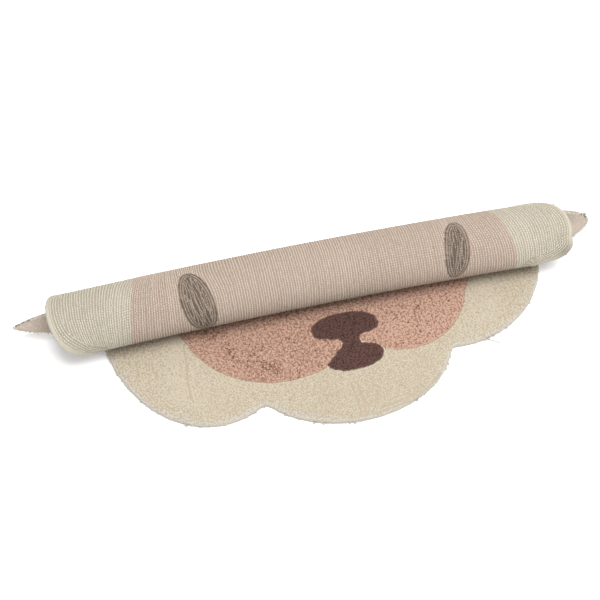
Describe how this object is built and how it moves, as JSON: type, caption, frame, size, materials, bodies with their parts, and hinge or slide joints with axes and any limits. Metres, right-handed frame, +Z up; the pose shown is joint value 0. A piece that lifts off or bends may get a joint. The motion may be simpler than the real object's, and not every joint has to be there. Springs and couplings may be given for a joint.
{
  "type": "sheep-shaped kids rug, partly rolled up",
  "caption": "Tufted kids rug cut as a sheep's head with scalloped fleece and ears; the chin lies flat and the rest is rolled up, pile inside, behind it.",
  "frame": {"origin": "on the floor under the middle of the rug's box", "axes": "+X along the roll towards the right ear as seen from the chin, +Y from the chin towards the roll, +Z up"},
  "size_m": [1.0126, 0.3214, 0.1115],
  "materials": {
    "wool": "tufted wool pile, matt, with tufting rows on the back"
  },
  "bodies": {
    "root": {"rug": "wool"}
  },
  "joints": []
}
